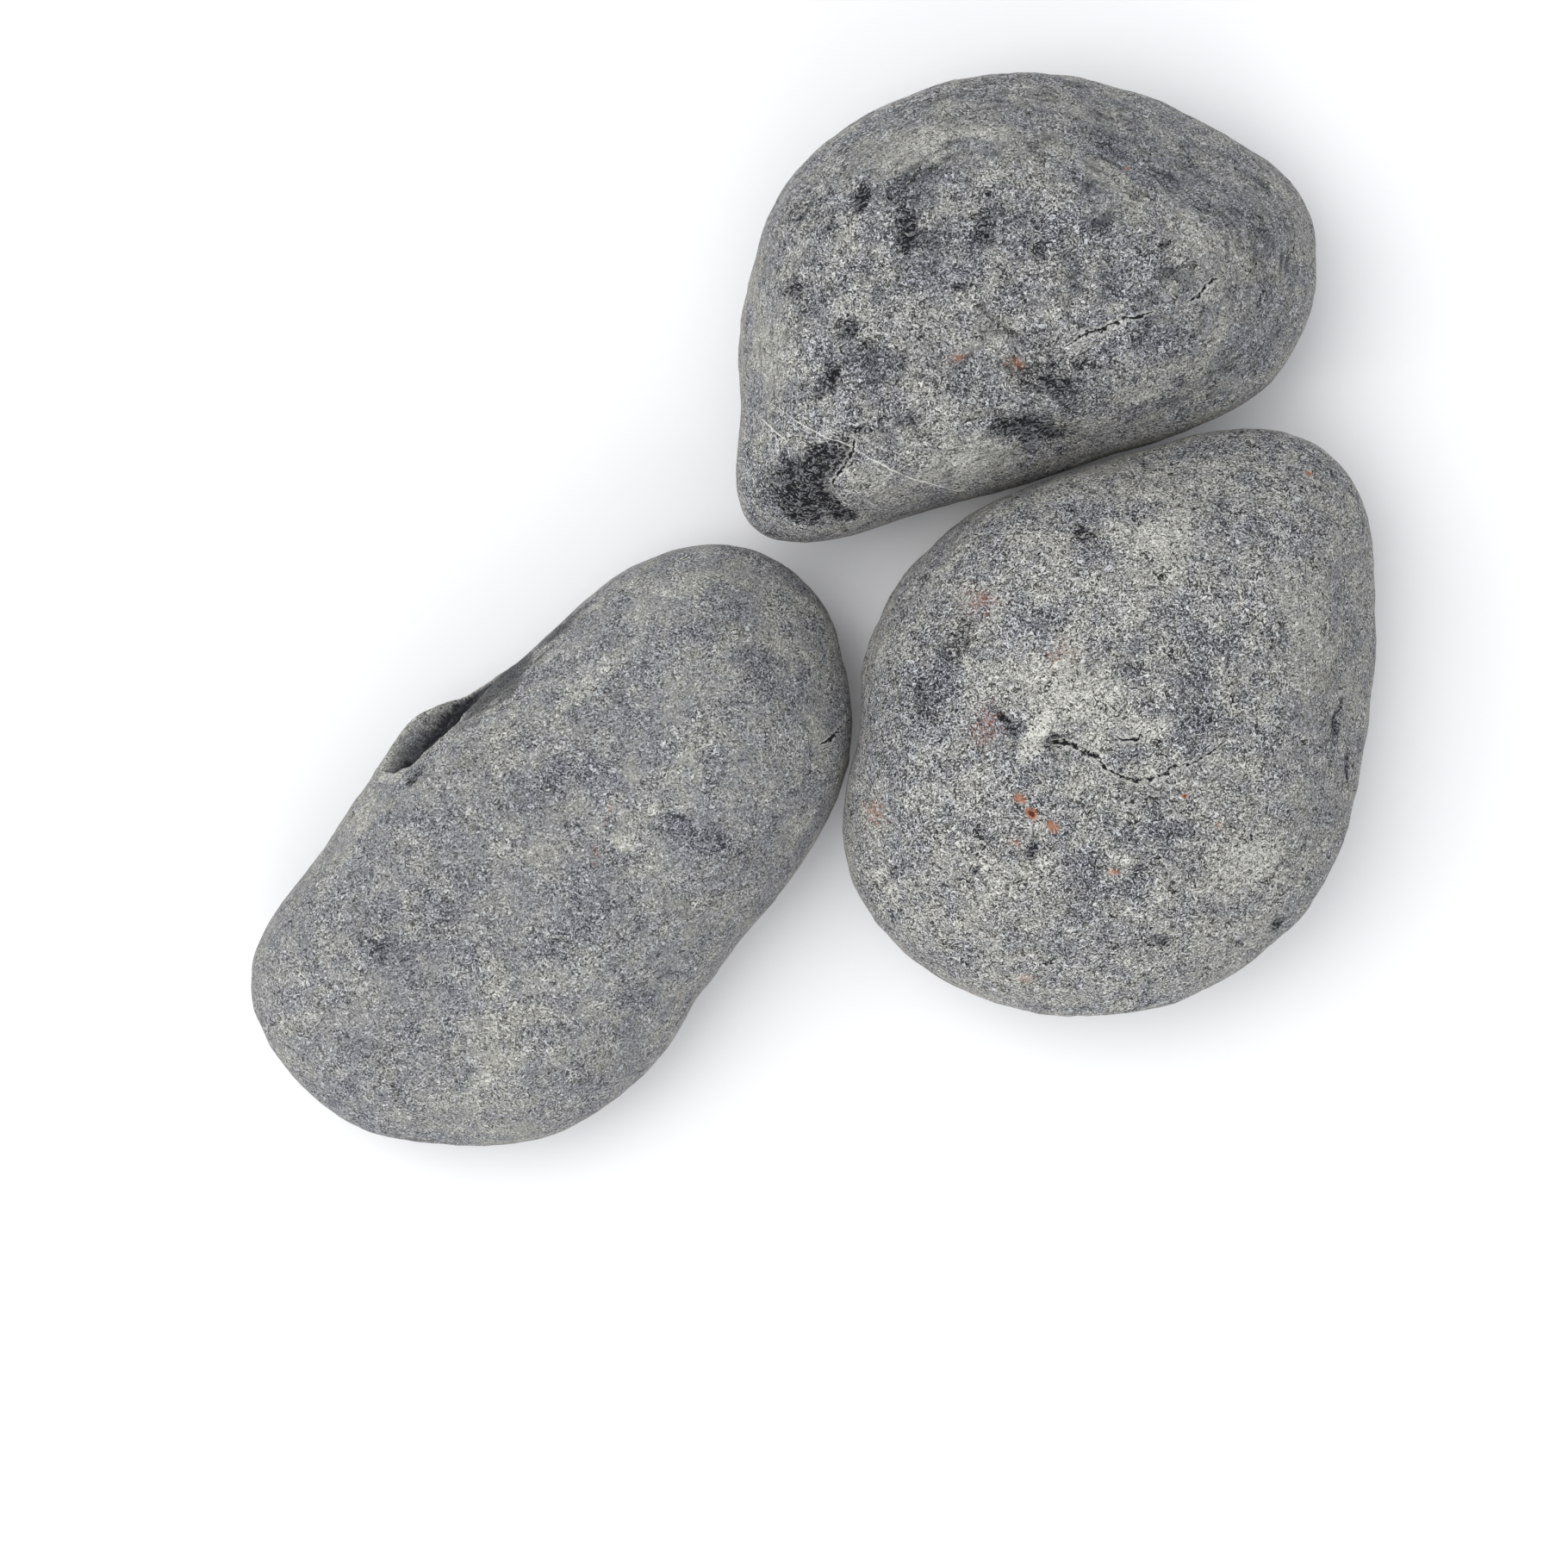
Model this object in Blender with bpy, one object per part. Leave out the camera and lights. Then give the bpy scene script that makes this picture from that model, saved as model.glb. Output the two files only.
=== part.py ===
"""Three loose basalt massage stones lying close together on a flat surface.

Metres, +Z up. The origin is on the surface the stones rest on, under the middle of the group.
Each stone is a river-worn pebble. In every direction from its middle it has one radius, worked out from a
rounded body (a plan outline, a crown above and a belly below) that broad soft faces have worn down.
Its sole is a small true flat, and the oval stone has a flake broken out of one side.
"""

import math
from dataclasses import dataclass, field

import bmesh
import bpy
import numpy as np
from mathutils import Matrix, Vector

MM = 0.001

# ---- Driving dimensions: each stone's finished length, width and thickness, in metres ----
BROAD_LENGTH = 59.0 * MM
BROAD_WIDTH = 50.0 * MM
BROAD_THICKNESS = 27.0 * MM
WEDGE_LENGTH = 61.5 * MM
WEDGE_WIDTH = 39.5 * MM
WEDGE_THICKNESS = 26.0 * MM
OVAL_LENGTH = 70.5 * MM
OVAL_WIDTH = 39.0 * MM
OVAL_THICKNESS = 22.0 * MM

# How much of the body the flat sole takes off the lowest point of a stone
SOLE_DEPTH = 0.3 * MM

# ---- How the stones lie together ----
NEST_GAP = 0.4 * MM
BROAD_TURN = math.radians(83)
WEDGE_TURN = math.radians(18)
OVAL_TURN = math.radians(53)
# Bearing of the wedge stone's middle, and the limits between which the oval's is found, from the broad stone
WEDGE_BEARING = math.radians(104)
OVAL_BEARINGS = (math.radians(172), math.radians(220))

# ---- The flake broken out of the oval stone's side ----
FLAKE_LENGTH = 15.0 * MM
FLAKE_WIDTH = 4.6 * MM
FLAKE_HEIGHT = 7.4 * MM
FLAKE_BEARING = math.radians(87)
FLAKE_RISE = math.radians(21)
FLAKE_STAND_OFF = 0.5 * MM
FLAKE_TURN = math.radians(-4)

# ---- How finely the surfaces are cut ----
CELLS = 16
OUTLINE_STEPS = 16
PLAN_BEARINGS = 360
PLAN_HEIGHTS = 25
FLAKE_CUTS = 3

# How crisply a worn face meets the round body: higher is sharper
FACE_CRISPNESS = 16


@dataclass
class Stone:
    """A stone in its own axes: X along its length, Y across it, Z up, and its middle at the girdle.

    outline: corners of the plan curve, in shares of half the length and half the width.
    crown_share: how much of the body's height is above the girdle.
    fullness: the power of its section, where 2 is an ellipse and more is boxier.
    faces: worn faces as (bearing in degrees, lean from upright in degrees, bite in metres).
    """

    name: str
    size: tuple
    turn: float
    crown_share: float
    fullness: float
    colour: tuple
    outline: list
    faces: list = field(default_factory=list)


BROAD = Stone(
    name="broad_stone",
    size=(BROAD_LENGTH, BROAD_WIDTH, BROAD_THICKNESS),
    turn=BROAD_TURN,
    crown_share=0.56,
    fullness=2.35,
    colour=(0.31, 0.31, 0.31),
    outline=[
        (1.00, -0.45), (0.96, -0.25), (0.87, -0.04), (0.76, 0.26), (0.62, 0.56), (0.46, 0.79),
        (0.27, 0.94), (0.05, 0.98), (-0.20, 0.95), (-0.44, 1.01), (-0.60, 0.98), (-0.77, 0.85),
        (-0.92, 0.58), (-1.00, 0.16), (-0.97, -0.24), (-0.81, -0.58), (-0.58, -0.84),
        (-0.28, -0.96), (0.06, -1.00), (0.40, -0.97), (0.68, -0.89), (0.91, -0.71),
    ],
    faces=[
        (60, 14, 1.0 * MM), (8, 48, 2.0 * MM), (-88, 54, 2.0 * MM), (-172, 38, 1.6 * MM),
        (128, 50, 1.4 * MM), (-128, 48, 1.0 * MM), (66, 62, 1.0 * MM), (0, 150, 1.2 * MM),
        (-110, 132, 1.2 * MM), (100, 142, 1.0 * MM), (0, 178, 0.5 * MM),
    ],
)

WEDGE = Stone(
    name="wedge_stone",
    size=(WEDGE_LENGTH, WEDGE_WIDTH, WEDGE_THICKNESS),
    turn=WEDGE_TURN,
    crown_share=0.57,
    fullness=2.4,
    colour=(0.28, 0.28, 0.29),
    outline=[
        (1.00, -0.19), (0.97, 0.02), (0.86, 0.26), (0.70, 0.53), (0.50, 0.77), (0.24, 0.95),
        (-0.12, 1.01), (-0.42, 0.87), (-0.64, 0.57), (-0.77, 0.22), (-0.88, -0.18),
        (-0.98, -0.56), (-0.99, -0.80), (-0.90, -0.92), (-0.70, -0.96), (-0.34, -0.98),
        (0.06, -1.00), (0.40, -1.02), (0.64, -0.96), (0.82, -0.78), (0.95, -0.50),
    ],
    faces=[
        (230, 8, 1.8 * MM), (44, 46, 2.6 * MM), (-88, 58, 2.0 * MM), (164, 60, 1.4 * MM),
        (100, 54, 1.2 * MM), (-150, 52, 1.2 * MM), (-30, 52, 1.2 * MM), (80, 138, 1.6 * MM),
        (-70, 146, 1.2 * MM), (180, 152, 1.0 * MM), (0, 178, 0.5 * MM),
    ],
)

OVAL = Stone(
    name="oval_stone",
    size=(OVAL_LENGTH, OVAL_WIDTH, OVAL_THICKNESS),
    turn=OVAL_TURN,
    crown_share=0.56,
    fullness=2.5,
    colour=(0.28, 0.28, 0.29),
    outline=[
        (1.00, 0.03), (0.94, 0.26), (0.83, 0.46), (0.66, 0.60), (0.43, 0.69), (0.22, 0.78),
        (0.10, 0.90), (-0.03, 0.98), (-0.22, 0.96), (-0.45, 0.95), (-0.70, 0.91), (-0.88, 0.73),
        (-0.98, 0.43), (-1.00, 0.12), (-0.90, -0.31), (-0.74, -0.69), (-0.53, -0.93),
        (-0.31, -1.02), (-0.10, -0.99), (0.12, -0.98), (0.36, -1.01), (0.60, -0.92),
        (0.82, -0.68), (0.97, -0.30),
    ],
    faces=[
        (180, 4, 1.6 * MM), (88, 54, 1.2 * MM), (-92, 52, 1.6 * MM), (-25, 46, 1.2 * MM),
        (165, 44, 1.4 * MM), (38, 50, 1.2 * MM), (-150, 50, 1.0 * MM), (-60, 140, 1.0 * MM),
        (170, 148, 1.2 * MM), (20, 152, 1.0 * MM), (0, 178, 0.5 * MM),
    ],
)


# ---- The shape of a stone ----
def closed_curve(corners):
    """Points along the smooth closed curve through the corners: a Catmull-Rom curve, round and round."""
    points = np.array(corners)
    before, after, beyond = (np.roll(points, shift, axis=0) for shift in (1, -1, -2))
    t = (np.arange(OUTLINE_STEPS) / OUTLINE_STEPS)[:, None, None]
    curve = 0.5 * (
        2 * points
        + (after - before) * t
        + (2 * before - 5 * points + 4 * after - beyond) * t**2
        + (3 * points - before - 3 * after + beyond) * t**3
    )
    return curve.transpose(1, 0, 2).reshape(-1, 2)


def outline_radius(stone, bearing):
    """How far the plan outline is from the middle, at each bearing in radians."""
    curve = closed_curve(stone.outline) * np.array(stone.size[:2]) / 2
    bearings = np.arctan2(curve[:, 1], curve[:, 0])
    return np.interp(bearing, bearings, np.hypot(*curve.T), period=2 * math.pi)


def direction_of(bearing, lean):
    """A unit vector at a plan bearing, leaning away from upright by an angle, both in radians."""
    return np.array(
        [math.sin(lean) * math.cos(bearing), math.sin(lean) * math.sin(bearing), math.cos(lean)]
    )


def body_radius(stone, directions):
    """The round body: (across / outline) ^ fullness + (up / height) ^ fullness = 1."""
    x, y, z = directions.T
    height = stone.size[2] * np.where(z > 0, stone.crown_share, 1 - stone.crown_share)
    plan = np.hypot(x, y) / outline_radius(stone, np.arctan2(y, x))
    total = plan**stone.fullness + (np.abs(z) / height) ** stone.fullness
    return total ** (-1 / stone.fullness)


def face_distances(stone):
    """Each worn face as (normal, distance from the middle): the body's reach that way, less the bite."""
    directions = sampled_directions()
    body = directions * body_radius(stone, directions)[:, None]
    found = []
    for bearing, lean, bite in stone.faces:
        normal = direction_of(math.radians(bearing), math.radians(lean))
        found.append((normal, (body @ normal).max() - bite))
    return found


def worn_points(stone, directions):
    """Surface points of the worn body, where each face's plane is blended softly into the round body."""
    closeness = body_radius(stone, directions) ** -FACE_CRISPNESS
    for normal, distance in face_distances(stone):
        closeness += (np.maximum(directions @ normal, 0) / distance) ** FACE_CRISPNESS
    return directions * (closeness ** (-1 / FACE_CRISPNESS))[:, None]


def cube_of_directions():
    """A cube's grid pushed out to a ball, so that its cells are nearly equal. Its vertices are directions."""
    mesh = bmesh.new()
    bmesh.ops.create_cube(mesh, size=2)
    bmesh.ops.subdivide_edges(mesh, edges=mesh.edges[:], cuts=CELLS - 1, use_grid_fill=True)
    for vertex in mesh.verts:
        vertex.co = Vector([math.tan(c * math.pi / 4) for c in vertex.co]).normalized()
    return mesh


def sampled_directions():
    mesh = cube_of_directions()
    directions = np.array([vertex.co for vertex in mesh.verts])
    mesh.free()
    return directions


def finishing(stone):
    """(scale, shift) that bring the worn body to its finished size, with its sole at height 0."""
    points = worn_points(stone, sampled_directions())
    low, high = points.min(axis=0), points.max(axis=0)
    scale = np.array(stone.size) / (high - low)
    scale[2] = (stone.size[2] + SOLE_DEPTH) / (high - low)[2]
    shift = -(low + high) / 2 * scale
    shift[2] = -low[2] * scale[2] - SOLE_DEPTH
    return scale, shift


def finished_points(stone, directions):
    scale, shift = finishing(stone)
    return worn_points(stone, directions) * scale + shift


# ---- How the stones nest ----
def plan_edge(stone):
    """The stone's edge seen from above, as a closed ring of points, turned as it lies."""
    bearings = np.linspace(-math.pi, math.pi, PLAN_BEARINGS, endpoint=False)
    leans = np.linspace(math.radians(50), math.radians(130), PLAN_HEIGHTS)
    directions = np.array([[direction_of(b, lean) for lean in leans] for b in bearings])
    points = finished_points(stone, directions.reshape(-1, 3)).reshape(PLAN_BEARINGS, PLAN_HEIGHTS, 3)
    furthest = np.argmax(np.hypot(points[..., 0], points[..., 1]), axis=1)
    edge = points[np.arange(PLAN_BEARINGS), furthest, :2]
    c, s = math.cos(stone.turn), math.sin(stone.turn)
    return edge @ np.array([[c, s], [-s, c]])


def gap_between(still, moved, offset):
    """The clear distance from one edge to another that is moved by offset, negative where they overlap."""
    points = moved + offset
    radius = np.interp(
        np.arctan2(points[:, 1], points[:, 0]),
        np.arctan2(still[:, 1], still[:, 0]),
        np.hypot(*still.T),
        period=2 * math.pi,
    )
    clear = (np.hypot(*points.T) - radius).min()
    if clear <= 0:
        return clear
    return np.linalg.norm(still[:, None] - points[None], axis=2).min()


def halved(low, high, too_much, steps=30):
    """The value between low and high where too_much turns from false to true."""
    for _ in range(steps):
        middle = (low + high) / 2
        low, high = (low, middle) if too_much(middle) else (middle, high)
    return (low + high) / 2


def placed_against(still, moved, bearing):
    """Where a stone's middle comes to, when it slides in along a bearing until the nesting gap is left."""
    heading = np.array([math.cos(bearing), math.sin(bearing)])
    furthest = np.hypot(*still.T).max() + np.hypot(*moved.T).max() + 2 * NEST_GAP
    away = halved(0, furthest, lambda d: gap_between(still, moved, heading * d) > NEST_GAP)
    return heading * away


def nested_places():
    """Plan positions of the three stones: the wedge against the broad stone, the oval against both."""
    broad, wedge, oval = plan_edge(BROAD), plan_edge(WEDGE), plan_edge(OVAL)
    wedge_at = placed_against(broad, wedge, WEDGE_BEARING)

    def clear_of_wedge(bearing):
        oval_at = placed_against(broad, oval, bearing)
        return gap_between(wedge, oval, oval_at - wedge_at) > NEST_GAP

    bearing = halved(*OVAL_BEARINGS, clear_of_wedge)
    return {
        BROAD.name: np.zeros(2),
        WEDGE.name: wedge_at,
        OVAL.name: placed_against(broad, oval, bearing),
    }


# ---- Making the objects ----
def clear_scene():
    for item in list(bpy.data.objects):
        bpy.data.objects.remove(item)


def stone_material(stone):
    material = bpy.data.materials.new(stone.name + "_basalt")
    material.use_nodes = True
    shader = material.node_tree.nodes["Principled BSDF"]
    shader.inputs["Base Color"].default_value = (*stone.colour, 1)
    shader.inputs["Roughness"].default_value = 0.85
    shader.inputs["Metallic"].default_value = 0
    return material


def linked(name, mesh, material=None):
    data = bpy.data.meshes.new(name)
    mesh.to_mesh(data)
    mesh.free()
    made = bpy.data.objects.new(name, data)
    bpy.context.scene.collection.objects.link(made)
    if material:
        data.materials.append(material)
    return made


def make_stone(stone):
    """The stone in its own axes, with everything under its sole sliced off and closed by one flat face."""
    mesh = cube_of_directions()
    points = finished_points(stone, np.array([vertex.co for vertex in mesh.verts]))
    for vertex, point in zip(mesh.verts, points, strict=True):
        vertex.co = point
    everything = mesh.verts[:] + mesh.edges[:] + mesh.faces[:]
    cut = bmesh.ops.bisect_plane(mesh, geom=everything, plane_no=(0, 0, 1), clear_inner=True)
    rim = [item for item in cut["geom_cut"] if isinstance(item, bmesh.types.BMEdge)]
    bmesh.ops.contextual_create(mesh, geom=rim)
    bmesh.ops.recalc_face_normals(mesh, faces=mesh.faces[:])
    made = linked(stone.name, mesh, stone_material(stone))
    made.data.shade_smooth()
    made.rotation_euler.z = stone.turn
    return made


def flake_cutter():
    """An egg-shaped cutter that stands in the oval stone's side, in the stone's own axes."""
    direction = direction_of(FLAKE_BEARING, math.pi / 2 - FLAKE_RISE)
    surface = finished_points(OVAL, direction[None])[0]
    mesh = bmesh.new()
    bmesh.ops.create_icosphere(mesh, subdivisions=FLAKE_CUTS, radius=1)
    shape = Matrix.Diagonal((FLAKE_LENGTH / 2, FLAKE_WIDTH / 2, FLAKE_HEIGHT / 2, 1))
    place = Matrix.Translation(Vector(surface) + Vector(direction) * FLAKE_STAND_OFF)
    mesh.transform(place @ Matrix.Rotation(FLAKE_TURN, 4, "Z") @ shape)
    cutter = linked("flake_cutter", mesh)
    cutter.hide_render = True
    cutter.display_type = "WIRE"
    return cutter


def break_flake(stone_object):
    """Cuts the flake scar, with the cutter parented to the stone so that both are placed together."""
    cutter = flake_cutter()
    cutter.parent = stone_object
    cut = stone_object.modifiers.new("flake_scar", "BOOLEAN")
    cut.operation = "DIFFERENCE"
    cut.solver = "EXACT"
    cut.object = cutter


def lay_out(made):
    """Moves the stones to where they nest, with the middle of the group's box at the origin."""
    places = nested_places()
    corners = []
    for stone, item in made:
        c, s = math.cos(stone.turn), math.sin(stone.turn)
        flat = np.array([vertex.co.xy for vertex in item.data.vertices])
        corners.append(flat @ np.array([[c, s], [-s, c]]) + places[stone.name])
    corners = np.concatenate(corners)
    middle = (corners.min(axis=0) + corners.max(axis=0)) / 2
    for stone, item in made:
        item.location.xy = places[stone.name] - middle


def main():
    clear_scene()
    made = [(stone, make_stone(stone)) for stone in (BROAD, WEDGE, OVAL)]
    break_flake(made[2][1])
    lay_out(made)
    bpy.context.view_layer.update()


main()
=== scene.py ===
# %% [markdown]
# # Basalt massage stones
# Three river pebbles of basalt lie close together. A river has rounded them for centuries, so each has
# broad soft faces, a matte skin as fine as sandpaper, and old damage: pits, hairline veins, cracks, rust
# spots and one lost flake. The frame brings in the plain solids. They give each stone its size and place,
# and the work here gives it its skin.

# %% Load the frame
import math
from dataclasses import dataclass, field
from itertools import product

import bpy
import numpy as np
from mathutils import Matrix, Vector


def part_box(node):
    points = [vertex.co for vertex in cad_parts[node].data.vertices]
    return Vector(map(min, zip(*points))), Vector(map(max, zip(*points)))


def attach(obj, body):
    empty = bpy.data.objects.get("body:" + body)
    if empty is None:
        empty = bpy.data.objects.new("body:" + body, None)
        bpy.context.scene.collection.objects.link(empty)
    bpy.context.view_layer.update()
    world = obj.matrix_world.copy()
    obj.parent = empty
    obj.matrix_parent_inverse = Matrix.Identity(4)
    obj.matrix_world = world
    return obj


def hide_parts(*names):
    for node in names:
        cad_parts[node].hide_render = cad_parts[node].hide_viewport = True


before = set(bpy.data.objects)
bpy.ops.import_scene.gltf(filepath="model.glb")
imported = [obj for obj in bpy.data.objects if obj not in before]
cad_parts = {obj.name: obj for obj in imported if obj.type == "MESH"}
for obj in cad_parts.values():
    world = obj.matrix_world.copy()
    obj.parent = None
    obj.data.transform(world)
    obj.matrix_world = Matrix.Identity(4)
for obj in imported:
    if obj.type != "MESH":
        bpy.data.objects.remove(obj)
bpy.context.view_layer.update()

MM = 0.001

# %% [markdown]
# ## Camera
# The stones are looked at from straight above. A long lens far away would flatten them, and a wide one
# close by would swell the nearest. A camera 400 mm over their widest level is between the two: it shows a
# little more of a stone's side the further the stone is from the middle of the view.

# %% Camera straight above
VIEW_WIDTH = 151.7 * MM
VIEW_DISTANCE = 400 * MM
GIRDLE = 12 * MM
VIEW_MIDDLE = (-2.7 * MM, -16.75 * MM)
NEAREST = 10 * MM
FURTHEST = 5

camera_data = bpy.data.cameras.new("overhead_camera")
camera_data.angle = 2 * math.atan(VIEW_WIDTH / 2 / VIEW_DISTANCE)
camera_data.clip_start = NEAREST
camera_data.clip_end = FURTHEST
camera = bpy.data.objects.new("overhead_camera", camera_data)
camera.location = (*VIEW_MIDDLE, GIRDLE + VIEW_DISTANCE)
bpy.context.scene.collection.objects.link(camera)
bpy.context.scene.camera = camera
bpy.context.scene.view_settings.view_transform = "Standard"
print("camera opening in degrees:", round(math.degrees(camera_data.angle), 1))

# %% [markdown]
# ## Light and floor
# A bare lamp gives hard shadows that hide a matte skin. A big soft light above and to the left shapes the
# stones gently instead, a weaker one in front keeps the near sides from going black, and an even pale sky
# fills the rest. The floor is plain, matte and nearly white.

# %% Colours as light
def linear(code):
    """A colour written as sRGB hex, turned into the linear light that shaders add and multiply."""
    shares = np.array([int(code[i : i + 2], 16) for i in (1, 3, 5)]) / 255
    return np.where(shares <= 0.04045, shares / 12.92, ((shares + 0.055) / 1.055) ** 2.4)


# %% Soft lights
def soft_light(name, place, size, power):
    """A square light of that size, turned towards the middle of the stones."""
    data = bpy.data.lights.new(name, "AREA")
    data.size = size
    data.energy = power
    lamp = bpy.data.objects.new(name, data)
    lamp.location = place
    towards = Vector((0, 0, GIRDLE)) - Vector(place)
    lamp.rotation_euler = towards.to_track_quat("-Z", "Y").to_euler()
    bpy.context.scene.collection.objects.link(lamp)
    print(name, "in watts:", power)
    return lamp


soft_light("key_softbox", place=(-0.30, 0.04, 0.60), size=0.60, power=2.9)
soft_light("fill_softbox", place=(0.05, -0.60, 0.40), size=0.50, power=1.2)

# %% Pale sky
SKY = "#f4f6fa"
SKY_STRENGTH = 0.78

world = bpy.data.worlds.new("pale_sky")
world.use_nodes = True
world.node_tree.nodes["Background"].inputs["Color"].default_value = (*linear(SKY), 1)
world.node_tree.nodes["Background"].inputs["Strength"].default_value = SKY_STRENGTH
bpy.context.scene.world = world

# %% Floor
FLOOR_DROP = 0.1 * MM
FLOOR_HALF = 1.5
CARD = "#f2f2f2"
CARD_ROUGHNESS = 0.9


def plain_floor():
    """A flat square of card, just under the soles so that the two never share one level.
    Its uncoated paper is rough, so it shows soft shadows and no reflection."""
    across = np.array([-1, 1]) * FLOOR_HALF
    x, y = np.meshgrid(across, across)
    points = np.stack([x.ravel(), y.ravel(), np.full(4, -FLOOR_DROP)], axis=1)
    mesh = bpy.data.meshes.new("floor")
    mesh.from_pydata(points.tolist(), [], [(0, 1, 3, 2)])
    floor = bpy.data.objects.new("floor", mesh)
    bpy.context.scene.collection.objects.link(floor)
    material = bpy.data.materials.new("matte white card")
    material.use_nodes = True
    shader = material.node_tree.nodes["Principled BSDF"]
    shader.inputs["Base Color"].default_value = (*linear(CARD), 1)
    shader.inputs["Roughness"].default_value = CARD_ROUGHNESS
    mesh.materials.append(material)
    return floor


floor = plain_floor()
print("floor width in m:", round(floor.dimensions.x, 2))

# %% [markdown]
# ## A fine skin over a plain solid
# The solid of a stone has cells about 3 mm wide, too coarse for pits and cracks. Sculpting would add detail
# by hand, but a pebble has one surface point in every direction from its middle. So its whole skin is one
# formula: the distance from the middle as a function of direction. The smooth part of that distance is
# learnt from the solid, and everything finer is added to it.

# %% Directions over a ball
CELLS = 128


def ball_grid(cells):
    """Unit directions and four-cornered faces, over six square patches with two parameters a and b each.
    The direction is (tan a, tan b, 1) made one long, with a and b from -45 to 45 degrees, so that cells are
    nearly equal. Points on a border belong to two or three patches and are kept once."""
    a, b = np.meshgrid(np.arange(cells + 1), np.arange(cells + 1), indexing="ij")
    patches = []
    for axis, side in product(range(3), (0, cells)):
        lattice = np.empty((cells + 1, cells + 1, 3), int)
        lattice[..., axis] = side
        lattice[..., (axis + 1) % 3] = a
        lattice[..., (axis + 2) % 3] = b
        patches.append(lattice if side else lattice[::-1])
    lattice = np.stack(patches)
    steps = np.array([(cells + 1) ** 2, cells + 1, 1])
    _, first, index = np.unique(lattice @ steps, return_index=True, return_inverse=True)
    index = index.reshape(lattice.shape[:3])
    corners = [index[:, :-1, :-1], index[:, 1:, :-1], index[:, 1:, 1:], index[:, :-1, 1:]]
    faces = np.stack(corners, axis=-1).reshape(-1, 4)
    directions = np.tan((lattice.reshape(-1, 3)[first] / cells * 2 - 1) * math.pi / 4)
    return directions / np.linalg.norm(directions, axis=1, keepdims=True), faces


directions, faces = ball_grid(CELLS)
print("skin:", len(directions), "points,", 2 * len(faces), "triangles a stone")

# %% Smooth waves
WAVE_DEGREE = 13


def waves(towards):
    """All products x^a y^b z^c whose powers add up to the degree or to one less, one column each.
    Added together in the right amounts they make any smooth bump on a ball that is no narrower than
    half a turn over the degree."""
    degrees = (WAVE_DEGREE, WAVE_DEGREE - 1)
    shares = [(n, a, b) for n in degrees for a in range(n + 1) for b in range(n + 1 - a)]
    powers = np.array([(a, b, n - a - b) for n, a, b in shares])
    x, y, z = (part[:, None] ** np.arange(WAVE_DEGREE + 1) for part in towards.T)
    a, b, c = powers.T
    return x[:, a] * y[:, b] * z[:, c]


directions_as_waves = waves(directions)
print("waves that describe a stone:", directions_as_waves.shape[1])


# %% Points of a solid
def samples_of(node):
    """Points all over a solid's skin: the corners, side middles and centres of its triangles."""
    mesh = node.data
    mesh.calc_loop_triangles()
    points = np.empty(len(mesh.vertices) * 3)
    mesh.vertices.foreach_get("co", points)
    corners = np.empty(len(mesh.loop_triangles) * 3, np.int32)
    mesh.loop_triangles.foreach_get("vertices", corners)
    triangles = points.reshape(-1, 3)[corners.reshape(-1, 3)]
    middles = (triangles + np.roll(triangles, 1, axis=1)) / 2
    centres = triangles.mean(axis=1, keepdims=True)
    return np.concatenate([triangles, middles, centres], axis=1).reshape(-1, 3)


# %% Learn a solid's radius
LEAST_WAVE = 1e-9


def learnt_radius(samples, middle):
    """The smooth radius in every direction of the fine skin: the wave amounts that fit the samples best.
    Waves that the samples hardly tell apart, by the share LEAST_WAVE, are left out."""
    reach = samples - middle
    radius = np.linalg.norm(reach, axis=1)
    amounts, *_ = np.linalg.lstsq(waves(reach / radius[:, None]), radius, rcond=LEAST_WAVE)
    error = (waves(reach / radius[:, None]) @ amounts - radius) / MM
    print("  fit error in mm: typical", round(error.std(), 3), "worst", round(np.abs(error).max(), 2))
    return directions_as_waves @ amounts


# %% [markdown]
# ## Random unevenness
# Worn stone is uneven at every scale, from slow swells a finger can feel to the grit of its grains. Moving
# each point by its own random number would give spikes. Random numbers on the corners of a grid of cubes,
# eased smoothly from corner to corner, give one scale instead, and layers of halved size add up to a
# natural surface. The same seed always gives the same stone.

# %% Random heights
TABLE = 32
SEED_STEPS = 7


def smooth_step(value, low, high):
    """0 below low, 1 above high, and an S-shaped curve between."""
    share = np.clip((value - low) / (high - low), 0, 1)
    return share * share * (3 - 2 * share)


def uneven(points, size, seed, layers=1):
    """Random heights from about -1 to 1 that change over the given size, with finer and weaker layers on top.
    Each layer eases between the random numbers at the eight corners of the cube a point is in.
    The grid starts a few cubes further on from seed to seed."""
    total = np.zeros(len(points))
    for layer in range(layers):
        table = np.random.default_rng(seed + layer).uniform(-1, 1, (TABLE, TABLE, TABLE))
        place = points / size * 2**layer + seed % SEED_STEPS
        cell = np.floor(place).astype(int)
        share = smooth_step(place - cell, 0, 1)
        for corner in product((0, 1), repeat=3):
            weight = np.where(corner, share, 1 - share).prod(axis=1)
            total += weight * table[tuple(((cell + corner) % TABLE).T)] / 2**layer
    return total


# %% [markdown]
# ## Marks
# Every stone has its own marks, listed as a collector would note them: where on the upper side, how long,
# how wide and which way. They could be painted on the mesh, but its cells are too coarse for a hairline. So
# the mesh keeps how far each point is inside a mark or away from a line. Those distances blend smoothly
# between the points, and the material draws the mark's edge from them much finer than the cells.

# %% Marks as distances
FAR = 6.0
THINNING = 0.3
THINNEST = 0.02


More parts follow.
